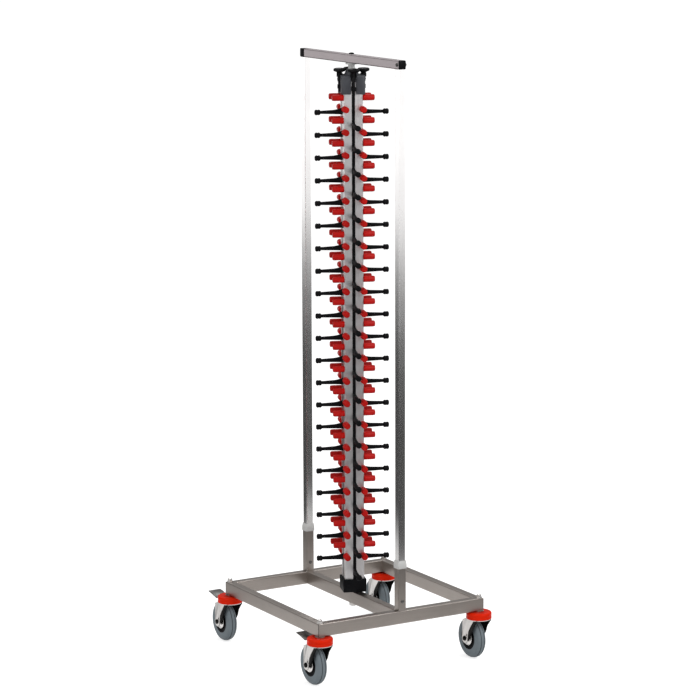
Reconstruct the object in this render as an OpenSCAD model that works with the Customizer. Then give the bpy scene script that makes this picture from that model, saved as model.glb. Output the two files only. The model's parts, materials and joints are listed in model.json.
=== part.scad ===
// Plate rack trolley: a turning column of plate places in a wheeled frame.
// Millimetres. Z is up and the floor is z = 0. The column turns about a
// vertical line through the middle of the square base. The front is -Y.

/* [Base frame] */
// Outside length and width of the square base
base_l = 580; // [520:10:660]
// Width of the base tubes, seen from above
rail_w = 26; // [22:1:30]
// Height of the base tubes
rail_h = 40; // [34:1:46]
// Wall of all steel tubes
tube_wall = 1.5; // [1:0.25:2.5]
// Outside radius of the edges of all steel tubes
tube_r = 3; // [2:0.5:4]
// Height of the top of the base above the floor
deck_z = 196; // [190:1:220]

/* [Posts and top bar] */
// Side of the square upper posts
post_w = 23; // [19:1:25]
// Height of the sockets that hold the posts
socket_h = 130; // [80:2:150]
// Height of the plastic collars on the sockets
collar_h = 24; // [16:1:36]
// Height of the top bar
bar_h = 26; // [20:1:30]
// Clear height between the cap's top and the bar
bar_gap = 35; // [33:1:45]
// Diameter of the frame bolts
bolt_d = 8; // [6:1:8]

/* [Column] */
// Side of the square column
col_w = 60; // [57:1:66]
// Side of the square foot and cap
foot_w = 72; // [70:1:78]
// Height of the foot block
foot_h = 40; // [32:1:52]
// Height of the cap's body
cap_h = 56.5; // [50:0.5:70]
// Width of the black strip in the middle of each side
strip_w = 9.5; // [7:0.5:11]
// Angle at which the column stands turned
rack_turn = -20.4; // [-45:0.1:45]

/* [Plate places] */
// Number of plate places on each side
tiers = 21; // [6:1:21]
// Height from one plate place to the next
pitch = 68.5; // [62:0.5:80]
// Height of the lowest arm above the foot
arm_start = 29.5; // [27:0.5:40]
// Reach of the arm tips from the column's axis
arm_reach = 112.5; // [95:0.5:130]
// Length of the rubber tip on an arm
tip_l = 17; // [13:1:20]
// Diameter of the rubber tip on an arm
tip_d = 17; // [15:0.5:19]
// Reach of the pegs from the column's axis
peg_reach = 64.5; // [56:0.5:70]
// Diameter of the red pegs
peg_d = 19; // [15:1:21]
// Distance of the pegs from the middle of their side
peg_side = 26.7; // [25:0.1:30]
// Height of the pegs above their arm
peg_rise = 45; // [42:1:50]

/* [Adjusting knobs] */
// Diameter of the knobs
knob_d = 36; // [30:1:38]
// Distance of the knobs from the column's axis
knob_r = 36.5; // [36:0.5:39]
// Diameter of the knob shafts
shaft_d = 12.5; // [11:0.5:13]
// Diameter of the threaded spindles under the shafts
spindle_d = 8; // [6:0.5:9]
// Travel of the arm strips, up and down from the middle
strip_travel = 8; // [4:0.5:8]
// Height at which the front strip is set, from the middle of its travel
front_set = -6; // [-8:0.5:8]

/* [Casters] */
// Wheel diameter
wheel_d = 125; // [115:1:127]
// Wheel width
wheel_w = 30; // [24:1:34]
// Distance of the casters' stems from the outside faces of the base
caster_in = 10; // [9:0.5:13]
// Distance of the axle behind the swivel axis
trail = 38; // [30:1:40]
// Diameter of the round cover over the swivel bearing
cover_d = 78; // [70:1:84]
// Height of the round cover
cover_h = 18.5; // [15:0.5:21]
// Thickness of the fork steel
fork_t = 3; // [2.5:0.25:4]
// Diameter of the wheel axles
axle_d = 8; // [6:0.5:10]
// Reach of the brake pedals from the swivel axis
pedal_reach = 105; // [102:1:115]
// Width of the brake pedals
pedal_w = 42; // [32:1:46]

/* [Hidden] */
$fn = 64;

// Clearances
run_gap = 0.05;
slide_gap = 0.3;
fit_gap = 0.1;
loose_gap = 0.2;
// Overlap of a cutting shape past the face that it cuts
cut = 1;

// Sides of the column and corners of the base
right = 0;
back = 1;
left = 2;
front = 3;
front_left = [-1, -1];
front_right = [1, -1];
back_right = [1, 1];
back_left = [-1, 1];

// Base frame
half = base_l / 2;
rail_mid = half - rail_w / 2;
rail_z = deck_z - rail_h;

// The casters trail to the back, so the frame stands forward of the origin
caster_mid = half - caster_in;
reach_back = caster_mid + pedal_reach;
reach_front = caster_mid + cover_d / 2;
rack_y = (reach_front - reach_back) / 2;

// Column section
col_half = col_w / 2;
foot_half = foot_w / 2;
lip_t = 5;
flange_half = strip_w / 2 + 3.5;
flange_t = 4.9;
core_half = col_half - lip_t - flange_t - 2 * slide_gap;
core_wall = 3;
strip_face = col_half - slide_gap;
corner_r = 2.5;
chamber_wall = 2.2;

// Heights up the column
thrust_t = 1;
thrust_d = 40;
foot_z = deck_z + thrust_t;
foot_top = foot_z + foot_h;
low_arm = foot_top + arm_start;
top_arm = low_arm + pitch / 2 + (tiers - 1) * pitch;
cap_z = top_arm + peg_rise + peg_d / 2 + slide_gap;
cap_top = cap_z + cap_h;
cap_plate = 10;
cap_ceiling = cap_top - cap_plate;
boss_h = 17;
boss_top = cap_top + boss_h;
bar_z = cap_top + bar_gap;
bar_top = bar_z + bar_h;
pocket_z = foot_top - 20;
strip_z = pocket_z + strip_travel + 2;

// Pivots
top_pin_d = 12;
bottom_pin_d = 16;
bush_d = 20;
bush_flange_d = 36;
bush_flange_t = 4;

// Posts and their sockets
socket_in = post_w + 2 * loose_gap;
socket_w = socket_in + 2 * tube_wall;
collar_z = deck_z + socket_h;
socket_bolt_z = deck_z + 29;
bar_cap_t = 3;
bar_block_l = 25;
bar_plug = 14;
bar_bolt_y = -(half - 12);

// Arms and pegs
arm_w = 8;
tip_start = arm_reach - tip_l;
arm_end = tip_start - slide_gap;
nose_d = 6;
nose_l = 10;
peg_edge = 1.5;

// Knobs, spindles and the lugs that they drive
ear_d = shaft_d + 6.5;
ear_z = cap_top - 6;
ear_h = 11;
knob_z = ear_z + ear_h + slide_gap;
neck_h = 5;
disc_h = 10.5;
collar_gap = 0.3;
collar_t = 4;
mouth_w = shaft_d - 2.5;
strip_top = cap_ceiling - collar_gap - collar_t - strip_travel - slide_gap;
lug_h = 12;
lug_d = spindle_d + 5;
lug_z = strip_top - lug_h - 6;
spindle_z = lug_z - strip_travel - 2;
shaft_z = lug_z + lug_h + strip_travel + 1;
groove_w = shaft_d + 3;

// Casters
axle_z = wheel_d / 2;
stem_flange_d = 30;
stem_flange_t = 2;
stem_d = 12;
caster_bolt_d = 10;
cover_top = rail_z - stem_flange_t - 0.5;
cover_z = cover_top - cover_h;
crown_t = 5;
crown_z = cover_z - crown_t;
crown_d = cover_d - 3;
leg_in = wheel_w / 2 + 9;
leg_end_r = 15;
guard_d = 46;
guard_t = 1.7;
sleeve_d = 16;
hub_r = 29;
hub_half = wheel_w / 2;
barrel_y = cover_d / 2 + 6;
barrel_z = crown_z;
barrel_d = 8;
pivot_d = 4;
ear_half = 12;
pedal_t = 3;
pedal_lift = 15;
pedal_press = 15;
shoe_r = 2.5;
shoe_gap = 0.6;
shoe_reach = 10;
// From the pedal's pivot to the axle, and the shoe's turn from that line when it meets the tyre
tyre_way = [trail - barrel_y, axle_z - barrel_z];
shoe_meets = wheel_d / 2 + shoe_r + shoe_gap;
shoe_angle = acos((pow(norm(tyre_way), 2) + pow(shoe_reach, 2) - pow(shoe_meets, 2))
    / (2 * norm(tyre_way) * shoe_reach));

// Moves a shape from the frame's middle to where the frame stands
module framed() {
    translate([0, rack_y, 0]) children();
}

// One side of the turned column, with its outward direction along X
module on_side(side) {
    framed() rotate(rack_turn + 90 * side) children();
}

// A caster at its corner, with its swivel axis on Z
module at_corner(corner) {
    framed() translate([corner.x * caster_mid, corner.y * caster_mid, 0]) children();
}

// Height of the lowest place on a side: right and left stand half a step higher
function first_place(side) = low_arm + (side % 2 == 0 ? pitch / 2 : 0);

// How far a side's strip is set from the middle of its travel
function setting(side) = side == front ? front_set : 0;

module rounded_rectangle(w, h, r) {
    square([w, h - 2 * r], center = true);
    square([w - 2 * r, h], center = true);
    for (x = [-1, 1], y = [-1, 1])
        translate([x * (w / 2 - r), y * (h / 2 - r)]) circle(r);
}

// Section of a steel tube, and of a plug that fits in it
module tube_section(w, h) {
    difference() {
        rounded_rectangle(w, h, tube_r);
        rounded_rectangle(w - 2 * tube_wall, h - 2 * tube_wall, tube_r - tube_wall);
    }
}

module plug_section(w, h) {
    inset = 2 * (tube_wall + fit_gap);
    rounded_rectangle(w - inset, h - inset, tube_r - tube_wall);
}

module hexagon_nut(across, h) {
    cylinder(d = across / cos(30), h = h, $fn = 6);
}

// Domed cap on a round foot, as on a cap nut or a button bolt
module dome(d, h) {
    rotate_extrude() polygon(concat([[0, 0], [d / 2, 0]],
        [for (a = [0:15:90]) [d / 2 * cos(a), h * (0.35 + 0.65 * sin(a))]]));
}

// Base frame

module mitred_tube() {
    inner = half - rail_w;
    difference() {
        intersection() {
            translate([-half, -rail_mid, rail_z + rail_h / 2]) rotate([90, 0, 90])
                linear_extrude(base_l) tube_section(rail_w, rail_h);
            translate([0, 0, rail_z - cut]) linear_extrude(rail_h + 2 * cut)
                polygon([[-half, -half], [half, -half], [inner, -inner], [-inner, -inner]]);
        }
        for (x = [-1, 1]) translate([x * caster_mid, -caster_mid, rail_z - cut])
            cylinder(d = caster_bolt_d + 2 * fit_gap, h = rail_h + 2 * cut);
    }
}

module rail(turn) {
    color("#969089") framed() rotate(turn) mitred_tube();
}

module cross_member() {
    l = base_l - 2 * rail_w;
    color("#969089") framed() difference() {
        translate([0, l / 2, rail_z + rail_h / 2]) rotate([90, 0, 0])
            linear_extrude(l) tube_section(rail_w, rail_h);
        translate([0, 0, rail_z - cut])
            cylinder(d = bottom_pin_d + 2 * fit_gap, h = rail_h + 2 * cut);
    }
}

// Posts, sockets, collars and top bar

module post(y_dir) {
    color("#a8a39c") framed() translate([0, y_dir * rail_mid, deck_z]) difference() {
        linear_extrude(bar_z - deck_z) tube_section(post_w, post_w);
        translate([0, 0, socket_bolt_z - deck_z]) rotate([90, 0, 0])
            cylinder(d = bolt_d + 2 * fit_gap, h = post_w + 2 * cut, center = true);
    }
}

module post_sockets() {
    color("#969089") framed() for (y = [-1, 1]) translate([0, y * rail_mid, deck_z]) difference() {
        linear_extrude(socket_h) tube_section(socket_w, socket_w);
        translate([0, 0, socket_bolt_z - deck_z]) rotate([90, 0, 0])
            cylinder(d = bolt_d + 2 * fit_gap, h = socket_w + 2 * cut, center = true);
    }
}

module post_collars() {
    base_w = socket_w + 3.6;
    neck_w = post_w + 4;
    hole_w = post_w + 2 * fit_gap;
    color("#d9d8d6") framed() for (y = [-1, 1])
        translate([0, y * rail_mid, collar_z]) difference() {
            hull() {
                linear_extrude(collar_h / 2) rounded_rectangle(base_w, base_w, tube_r, $fn = 32);
                linear_extrude(collar_h) rounded_rectangle(neck_w, neck_w, tube_r, $fn = 32);
            }
            translate([-hole_w / 2, -hole_w / 2, -cut]) cube([hole_w, hole_w, collar_h + 2 * cut]);
        }
}

module top_bar() {
    color("#a39a98") framed() difference() {
        translate([0, half - bar_block_l, bar_z + bar_h / 2]) rotate([90, 0, 0])
            linear_extrude(base_l - bar_cap_t - bar_block_l) tube_section(post_w, bar_h);
        translate([0, 0, bar_z - cut]) cylinder(d = top_pin_d + 2 * fit_gap, h = bar_h + 2 * cut);
        translate([0, bar_bolt_y, bar_z + bar_h / 2]) rotate([0, 90, 0])
            cylinder(d = bolt_d + 2 * fit_gap, h = post_w + 2 * cut, center = true);
    }
}

// A thin cap on the front end and a solid corner block on the back end
module bar_ends() {
    mid_z = bar_z + bar_h / 2;
    color("#1c1c1d") framed() {
        difference() {
            translate([0, -half, mid_z]) rotate([-90, 0, 0]) {
                linear_extrude(bar_cap_t) rounded_rectangle(post_w, bar_h, tube_r);
                linear_extrude(bar_cap_t + bar_plug) plug_section(post_w, bar_h);
            }
            translate([0, bar_bolt_y, mid_z]) rotate([0, 90, 0])
                cylinder(d = bolt_d + 2 * fit_gap, h = post_w, center = true);
        }
        translate([0, half, mid_z]) rotate([90, 0, 0]) {
            linear_extrude(bar_block_l) rounded_rectangle(post_w, bar_h, tube_r);
            linear_extrude(bar_block_l + bar_plug) plug_section(post_w, bar_h);
        }
        translate([0, rail_mid, bar_z - bar_plug])
            linear_extrude(bar_plug + bar_h / 2) plug_section(post_w, post_w);
    }
}

// A button bolt through a tube of width w, with its head on the -Y side
module cross_bolt(w, head_d) {
    head_h = 3;
    rotate([90, 0, 0]) {
        translate([0, 0, -w / 2 - 7]) cylinder(d = bolt_d, h = w + 7);
        translate([0, 0, w / 2]) dome(head_d, head_h);
        translate([0, 0, -w / 2 - 6]) hexagon_nut(12, 6);
    }
}

module frame_bolts() {
    color("#b9b7b4") framed() {
        for (y = [-1, 1]) translate([0, y * rail_mid, socket_bolt_z]) cross_bolt(socket_w, 11);
        translate([0, bar_bolt_y, bar_z + bar_h / 2]) rotate(-90) cross_bolt(post_w, 11);
    }
}

module caster_stems() {
    color("#b9b7b4") for (corner = [front_left, front_right, back_right, back_left])
        at_corner(corner) {
            translate([0, 0, rail_z - stem_flange_t]) cylinder(d = stem_flange_d, h = stem_flange_t);
            translate([0, 0, rail_z - cut]) cylinder(d = caster_bolt_d, h = rail_h + 7 + cut);
            translate([0, 0, crown_z - cut]) cylinder(d = stem_d, h = rail_z - crown_z);
            translate([0, 0, crown_z - 4 - slide_gap]) cylinder(d = stem_d + 7, h = 4);
        }
}

// Cap nuts over the ends of the caster stems
module caster_nuts() {
    nut_h = 6;
    color("#cfcdc8") for (corner = [front_left, front_right, back_right, back_left])
        at_corner(corner) translate([0, 0, deck_z]) difference() {
            union() {
                cylinder(d = 19, h = 1.5);
                translate([0, 0, 1.5]) hexagon_nut(15, nut_h - 1.5);
                translate([0, 0, nut_h]) dome(14, 6);
            }
            translate([0, 0, -cut]) cylinder(d = caster_bolt_d + 2 * run_gap, h = 7 + fit_gap + cut);
        }
}

// Pivots of the column

module top_pivot_pin() {
    pin_z = cap_ceiling + 3;
    color("#1c1c1d") framed() {
        translate([0, 0, pin_z]) cylinder(d = top_pin_d, h = bar_top - pin_z);
        translate([0, 0, bar_top]) dome(16, 5);
    }
}

module top_bush() {
    color("#d9d8d6") framed() difference() {
        union() {
            translate([0, 0, bar_z - bush_flange_t]) cylinder(d = bush_flange_d, h = bush_flange_t);
            translate([0, 0, boss_top + slide_gap])
                cylinder(d = bush_d, h = bar_z - boss_top - slide_gap);
        }
        translate([0, 0, boss_top - cut])
            cylinder(d = top_pin_d + 2 * run_gap, h = bar_z - boss_top + 2 * cut);
    }
}

module bottom_pivot() {
    pin_top = foot_top - 10;
    nut_h = 8;
    color("#b9b7b4") framed() {
        translate([0, 0, rail_z - nut_h - 2]) cylinder(d = bottom_pin_d, h = pin_top - rail_z + nut_h + 2);
        translate([0, 0, deck_z]) cylinder(d = thrust_d, h = thrust_t);
        translate([0, 0, rail_z - nut_h]) hexagon_nut(24, nut_h);
    }
}

// Column

module column_core() {
    in_half = core_half - core_wall;
    color("#2b2c2e") framed() rotate(rack_turn) translate([0, 0, foot_top])
        linear_extrude(cap_ceiling - foot_top) difference() {
            square(2 * core_half, center = true);
            square(2 * in_half, center = true);
        }
}

// One quarter of the column's section: the corner and the lips of two slots
module corner_section() {
    slot = strip_w / 2 + slide_gap;
    f = flange_half + slide_gap;
    lip = col_half - lip_t;
    chamber = col_half - chamber_wall - core_half - chamber_wall;
    difference() {
        polygon(concat([[col_half, slot]],
            [for (a = [0:15:90]) [col_half - corner_r * (1 - cos(a)), col_half - corner_r * (1 - sin(a))]],
            [[slot, col_half], [slot, lip], [f, lip], [f, core_half], [core_half, core_half],
                [core_half, f], [lip, f], [lip, slot]]));
        translate([core_half + chamber_wall, core_half + chamber_wall]) square(chamber);
    }
}

module corner_profiles() {
    color("#cfd0d2") for (side = [right, back, left, front])
        on_side(side) translate([0, 0, foot_top])
            linear_extrude(cap_ceiling - foot_top) corner_section();
}

// The space that a strip slides in, cut into the foot
module strip_pocket() {
    f = flange_half + slide_gap;
    slot = strip_w / 2 + slide_gap;
    translate([core_half, -f]) square([col_half - lip_t - core_half, 2 * f]);
    translate([core_half, -slot]) square([col_half - core_half, 2 * slot]);
}

module foot_block() {
    color("#161617") framed() rotate(rack_turn) difference() {
        translate([0, 0, foot_z]) linear_extrude(foot_h) rounded_rectangle(foot_w, foot_w, 4);
        for (side = [0:3]) rotate(90 * side) translate([0, 0, pocket_z])
            linear_extrude(foot_top - pocket_z + cut) strip_pocket();
        translate([0, 0, foot_z - cut])
            cylinder(d = bottom_pin_d + 2 * run_gap, h = foot_h - 8 + cut);
    }
}

module column_cap() {
    opening = col_w + 2 * fit_gap;
    color("#46484d") framed() rotate(rack_turn) difference() {
        union() {
            translate([0, 0, cap_z]) linear_extrude(cap_h) rounded_rectangle(foot_w, foot_w, 6);
            translate([0, 0, cap_top]) cylinder(r1 = 23, r2 = 15, h = boss_h);
            for (side = [0:3]) rotate(90 * side) translate([knob_r, 0, ear_z])
                cylinder(d = ear_d, h = ear_h);
        }
        translate([-opening / 2, -opening / 2, cap_z - cut])
            cube([opening, opening, cap_ceiling - cap_z + cut]);
        for (side = [0:3]) rotate(90 * side) {
            translate([core_half, -groove_w / 2, cap_z - cut])
                cube([foot_half, groove_w, cap_ceiling - cap_z + cut]);
            translate([knob_r, 0, cap_z])
                cylinder(d = shaft_d + 2 * run_gap, h = cap_h + ear_h);
            translate([knob_r, -mouth_w / 2, cap_z]) cube([foot_half, mouth_w, cap_h + ear_h]);
        }
        translate([0, 0, cap_ceiling - cut])
            cylinder(d = top_pin_d + 2 * run_gap, h = cap_plate + boss_h + 2 * cut);
    }
}

// A level rubber peg from the face of the column, with a rounded end
module peg() {
    l = peg_reach - col_half;
    r = peg_d / 2;
    rotate([0, 90, 0]) rotate_extrude() polygon([[0, 0], [r, 0], [r, l - 3 * peg_edge],
        [r - 0.5, l - 3 * peg_edge], [r - 0.5, l - peg_edge], [r - 0.5 - peg_edge, l], [0, l]]);
}

module pegs(side) {
    z = first_place(side) + peg_rise;
    color("#c0160f") on_side(side) for (tier = [0:tiers - 1], y = [-1, 1])
        translate([col_half, y * peg_side, z + tier * pitch]) peg();
}

// Sliding strips with their arms

module strip(side) {
    l = strip_top - strip_z;
    flange_r = core_half + slide_gap;
    neck_r = flange_r + flange_t;
    color("#161617") on_side(side) translate([0, 0, setting(side)]) {
        translate([0, 0, strip_z]) linear_extrude(l) {
            translate([flange_r, -flange_half]) square([flange_t, 2 * flange_half]);
            translate([flange_r, -strip_w / 2]) square([strip_face - flange_r, strip_w]);
        }
        translate([0, 0, lug_z]) linear_extrude(lug_h) difference() {
            union() {
                translate([neck_r, -strip_w / 2]) square([knob_r - neck_r, strip_w]);
                translate([knob_r, 0]) circle(d = lug_d);
            }
            translate([knob_r, 0]) circle(d = spindle_d + 2 * run_gap);
        }
    }
}

// A tapering arm, level with its tip at z = 0, from the strip to the tip
module arm() {
    rotate([90, 0, 0]) linear_extrude(arm_w, center = true) polygon([[strip_face, -7],
        [strip_face, 12.5], [strip_face + 7, 10], [strip_face + 25, 6.5], [arm_end, 4.6],
        [arm_end, -4.4], [strip_face + 21, -6]]);
    translate([arm_end - cut, 0, 0]) rotate([0, 90, 0])
        cylinder(d = nose_d, h = nose_l + slide_gap + cut);
}

// A rubber barrel pushed on the nose of an arm, with a shallow groove round its middle
module arm_tip() {
    r = tip_d / 2;
    mid = tip_l / 2;
    bore = nose_d / 2 + fit_gap;
    translate([tip_start, 0, 0]) rotate([0, 90, 0]) rotate_extrude() polygon([[bore, 0],
        [r - 2.5, 0], [r - 0.6, 2.2], [r, 4], [r, mid - 2], [r - 0.8, mid], [r, mid + 2],
        [r, tip_l - 3.5], [r - 1, tip_l - 1.5], [r - 3, tip_l], [0, tip_l], [0, nose_l + 0.5],
        [bore, nose_l + 0.5]]);
}

module arms(side) {
    color("#161617") on_side(side) for (tier = [0:tiers - 1])
        translate([0, 0, first_place(side) + setting(side) + tier * pitch]) {
            arm();
            arm_tip();
        }
}

// A mushroom knob on its shaft, which turns in the cap, and a spindle that drives the strip
module knob(side) {
    r = knob_d / 2;
    neck_r = shaft_d / 2 + 1.5;
    collar_top = cap_ceiling - collar_gap;
    color("#121213") on_side(side) translate([knob_r, 0, 0]) {
        translate([0, 0, knob_z]) rotate_extrude() polygon([[0, 0], [neck_r, 0],
            [neck_r, neck_h], [r - 2, neck_h + 1], [r, neck_h + 3], [r, neck_h + 6],
            [r - 2, neck_h + 8.5], [r - 7, neck_h + disc_h], [0, neck_h + disc_h]]);
        translate([0, 0, spindle_z]) cylinder(d = spindle_d, h = knob_z - spindle_z + cut);
        translate([0, 0, shaft_z]) cylinder(d = shaft_d, h = knob_z - shaft_z + cut);
        translate([0, 0, collar_top - collar_t]) cylinder(d = shaft_d + 2.2, h = collar_t);
    }
}

// Casters

// Side outline of a fork leg: y runs back from the swivel axis, z up
module leg_outline() {
    top = crown_z + 1;
    back = trail + leg_end_r;
    difference() {
        union() {
            polygon([[-30, top], [back - 12, top], [back, axle_z], [trail - 8, axle_z - leg_end_r + 2],
                [-8, axle_z + 22], [-13, axle_z + 36]]);
            translate([trail, axle_z]) circle(leg_end_r);
        }
        translate([trail, axle_z]) circle(d = axle_d + 2 * fit_gap);
        translate([trail - 11, axle_z + 13]) circle(d = 7);
    }
}

module fork_leg(x_dir) {
    translate([x_dir * (leg_in + fork_t / 2), 0, 0]) rotate([90, 0, 90])
        linear_extrude(fork_t, center = true) leg_outline();
}

module fork(corner, braked) {
    color("#b9b8b8") at_corner(corner) {
        difference() {
            translate([0, 0, crown_z]) cylinder(d = crown_d, h = crown_t);
            translate([0, 0, crown_z - cut]) cylinder(d = stem_d + 2 * run_gap, h = crown_t + 2 * cut);
        }
        for (x = [-1, 1]) fork_leg(x);
        if (braked) pedal_ears();
    }
}

// Two ears behind the crown and the pin that the brake pedal turns on
module pedal_ears() {
    root_y = crown_d / 2 - 8;
    for (x = [-1, 1]) translate([x * (ear_half + fork_t / 2), 0, 0]) rotate([90, 0, 90])
        linear_extrude(fork_t, center = true) {
            translate([barrel_y, barrel_z]) circle(d = barrel_d);
            polygon([[root_y, crown_z + 2], [root_y, crown_z - 2], [barrel_y, barrel_z - barrel_d / 2],
                [barrel_y, barrel_z + 3]]);
        }
    translate([0, barrel_y, barrel_z]) rotate([0, 90, 0])
        cylinder(d = pivot_d, h = 2 * ear_half + fork_t, center = true);
}

module cover(corner) {
    r = cover_d / 2;
    color("#d83a1c") at_corner(corner) translate([0, 0, cover_z]) rotate_extrude()
        polygon(concat([[stem_d / 2 + 3, 0], [r - 1, 0], [r, 2]],
            [for (a = [0:15:90]) [r - 5 + 5 * cos(a), cover_h - 5 + 5 * sin(a)]],
            [[stem_d / 2 + 3, cover_h]]));
}

// Axle bolt with its head and nut, its sleeves, and the round guards over the hub's faces
module axle(corner) {
    out = leg_in + fork_t;
    guard_x = hub_half + slide_gap;
    color("#c9c8c6") at_corner(corner) translate([0, trail, axle_z]) rotate([0, 90, 0]) {
        cylinder(d = axle_d, h = 2 * out + 8, center = true);
        translate([0, 0, -out]) rotate([180, 0, 0]) dome(15, 5);
        translate([0, 0, out]) hexagon_nut(13, 6);
        for (x = [0, 180]) rotate([x, 0, 0]) translate([0, 0, guard_x]) {
            cylinder(d = guard_d, h = guard_t);
            cylinder(d = sleeve_d, h = leg_in - guard_x);
        }
    }
}

// Black wheel centre: a dished disc between a rim and a long boss
module hub(corner) {
    rim = wheel_w / 2 - 3;
    web = 5;
    bore = axle_d / 2 + run_gap;
    boss = axle_d / 2 + 7;
    color("#1d1e20") at_corner(corner) translate([0, trail, axle_z]) rotate([0, 90, 0])
        rotate_extrude() polygon([[bore, -hub_half], [boss, -hub_half], [boss, -web],
            [hub_r - 4, -web], [hub_r - 4, -rim], [hub_r, -rim], [hub_r, rim],
            [hub_r - 4, rim], [hub_r - 4, web], [boss, web], [boss, hub_half], [bore, hub_half]]);
}

module tyre(corner) {
    r = wheel_d / 2;
    w = wheel_w / 2;
    groove = 5;
    color("#717a80") at_corner(corner) translate([0, trail, axle_z]) rotate([0, 90, 0])
        rotate_extrude() polygon(concat([[hub_r, -w + 2], [hub_r + 2, -w + 0.5], [r - 16, -w]],
            [for (a = [-75:15:-30]) [r - 12 + 12 * cos(a), w * 1.035 * sin(a)]],
            [[r - 0.6, -groove - 1], [r - 1.6, -groove], [r - 0.3, -groove + 1], [r, 0],
                [r - 0.3, groove - 1], [r - 1.6, groove], [r - 0.6, groove + 1]],
            [for (a = [30:15:75]) [r - 12 + 12 * cos(a), w * 1.035 * sin(a)]],
            [[r - 16, w], [hub_r + 2, w - 0.5], [hub_r, w - 2]]));
}

// A bent steel pedal on a barrel, with a shoe that comes down on the tyre
module brake_pedal(corner) {
    inner = 2 * (ear_half - slide_gap);
    shoe_turn = atan2(tyre_way.y, tyre_way.x) + shoe_angle + pedal_press;
    rim = pedal_reach - barrel_y;
    color("#8b8d8c") at_corner(corner) translate([0, barrel_y, barrel_z]) difference() {
        union() {
            rotate([0, 90, 0]) cylinder(d = barrel_d, h = inner, center = true);
            rotate([90, 0, 90]) linear_extrude(pedal_w, center = true) polygon([[8, 4],
                [rim - 16, pedal_lift - 3], [rim, pedal_lift - 1], [rim, pedal_lift + pedal_t - 1],
                [rim - 18, pedal_lift + pedal_t - 3], [8, 4 + pedal_t]]);
            rotate([90, 0, 90]) linear_extrude(inner, center = true)
                polygon([[0, 0], [10, 4.2], [10, 3.8 + pedal_t], [0, 3.5]]);
            rotate([90, 0, 90]) linear_extrude(inner - 6, center = true) rotate(shoe_turn) {
                translate([0, -shoe_r]) square([shoe_reach, 2 * shoe_r]);
                translate([shoe_reach, 0]) circle(shoe_r);
            }
        }
        rotate([0, 90, 0]) cylinder(d = pivot_d + 2 * run_gap, h = inner + 2, center = true);
    }
}

rail(0);  // front_rail
rail(90);  // right_rail
rail(180);  // back_rail
rail(270);  // left_rail
cross_member();
post(-1);  // front_post
post(1);  // back_post
post_sockets();
post_collars();
top_bar();
bar_ends();
frame_bolts();
caster_stems();
caster_nuts();
top_pivot_pin();
top_bush();
bottom_pivot();
column_core();
corner_profiles();
column_cap();
foot_block();
pegs(right);  // right_pegs
pegs(back);  // back_pegs
pegs(left);  // left_pegs
pegs(front);  // front_pegs
strip(right);  // right_strip
strip(back);  // back_strip
strip(left);  // left_strip
strip(front);  // front_strip
arms(right);  // right_arms
arms(back);  // back_arms
arms(left);  // left_arms
arms(front);  // front_arms
knob(right);  // right_knob
knob(back);  // back_knob
knob(left);  // left_knob
knob(front);  // front_knob
fork(front_left, true);  // front_left_fork
cover(front_left);  // front_left_cover
axle(front_left);  // front_left_axle
hub(front_left);  // front_left_hub
tyre(front_left);  // front_left_tyre
brake_pedal(front_left);  // front_left_pedal
fork(front_right, false);  // front_right_fork
cover(front_right);  // front_right_cover
axle(front_right);  // front_right_axle
hub(front_right);  // front_right_hub
tyre(front_right);  // front_right_tyre
fork(back_right, false);  // back_right_fork
cover(back_right);  // back_right_cover
axle(back_right);  // back_right_axle
hub(back_right);  // back_right_hub
tyre(back_right);  // back_right_tyre
fork(back_left, true);  // back_left_fork
cover(back_left);  // back_left_cover
axle(back_left);  // back_left_axle
hub(back_left);  // back_left_hub
tyre(back_left);  // back_left_tyre
brake_pedal(back_left);  // back_left_pedal
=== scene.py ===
"""Dresses the plate rack trolley: soft edges, pegs, arms, knobs, casters, finishes and stage.

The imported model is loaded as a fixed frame. Each operator makes one kind of piece in place, in
metres, and lets it ride on the body that carries it.
"""

import json
import math

import bpy
from bpy.props import FloatProperty, FloatVectorProperty, IntProperty, PointerProperty
from mathutils import Matrix, Vector


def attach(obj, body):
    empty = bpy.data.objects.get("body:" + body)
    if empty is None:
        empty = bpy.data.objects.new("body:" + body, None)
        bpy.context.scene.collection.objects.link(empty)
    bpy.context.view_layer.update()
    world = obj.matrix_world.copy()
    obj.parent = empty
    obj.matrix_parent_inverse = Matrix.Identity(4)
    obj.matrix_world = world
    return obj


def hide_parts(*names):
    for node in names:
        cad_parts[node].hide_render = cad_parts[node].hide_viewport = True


bl_info = {
    "name": "Plate Rack Trolley",
    "version": (1, 0, 0),
    "blender": (4, 5, 0),
    "location": "View3D > Sidebar > Plate Rack",
    "description": "Builds the dressed pieces of a plate rack trolley over its packed solids",
    "category": "Object",
}

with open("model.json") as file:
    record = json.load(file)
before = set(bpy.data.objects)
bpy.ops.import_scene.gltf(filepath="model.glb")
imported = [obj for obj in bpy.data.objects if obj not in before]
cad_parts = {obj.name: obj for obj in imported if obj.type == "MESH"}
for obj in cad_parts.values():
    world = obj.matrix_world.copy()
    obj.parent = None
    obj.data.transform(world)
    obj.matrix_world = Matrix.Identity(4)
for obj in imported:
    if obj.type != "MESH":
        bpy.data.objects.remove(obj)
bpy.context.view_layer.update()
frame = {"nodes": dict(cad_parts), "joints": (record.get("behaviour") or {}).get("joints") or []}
MM = 0.001
JOINTS = {joint["name"]: joint for joint in frame["joints"]}

# Sides of the column, anticlockwise from above, and corners of the base
SIDES = ("right", "back", "left", "front")
CORNERS = ("front_left", "front_right", "back_right", "back_left")
BRAKED = ("front_left", "back_left")

# The column's axis, the angle at which the column stands turned, and half its width
COLUMN = Vector(JOINTS["column_turn"]["pos_m"])
COLUMN_TURN = math.radians(-20.4)
COLUMN_HALF = 30 * MM
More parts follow.
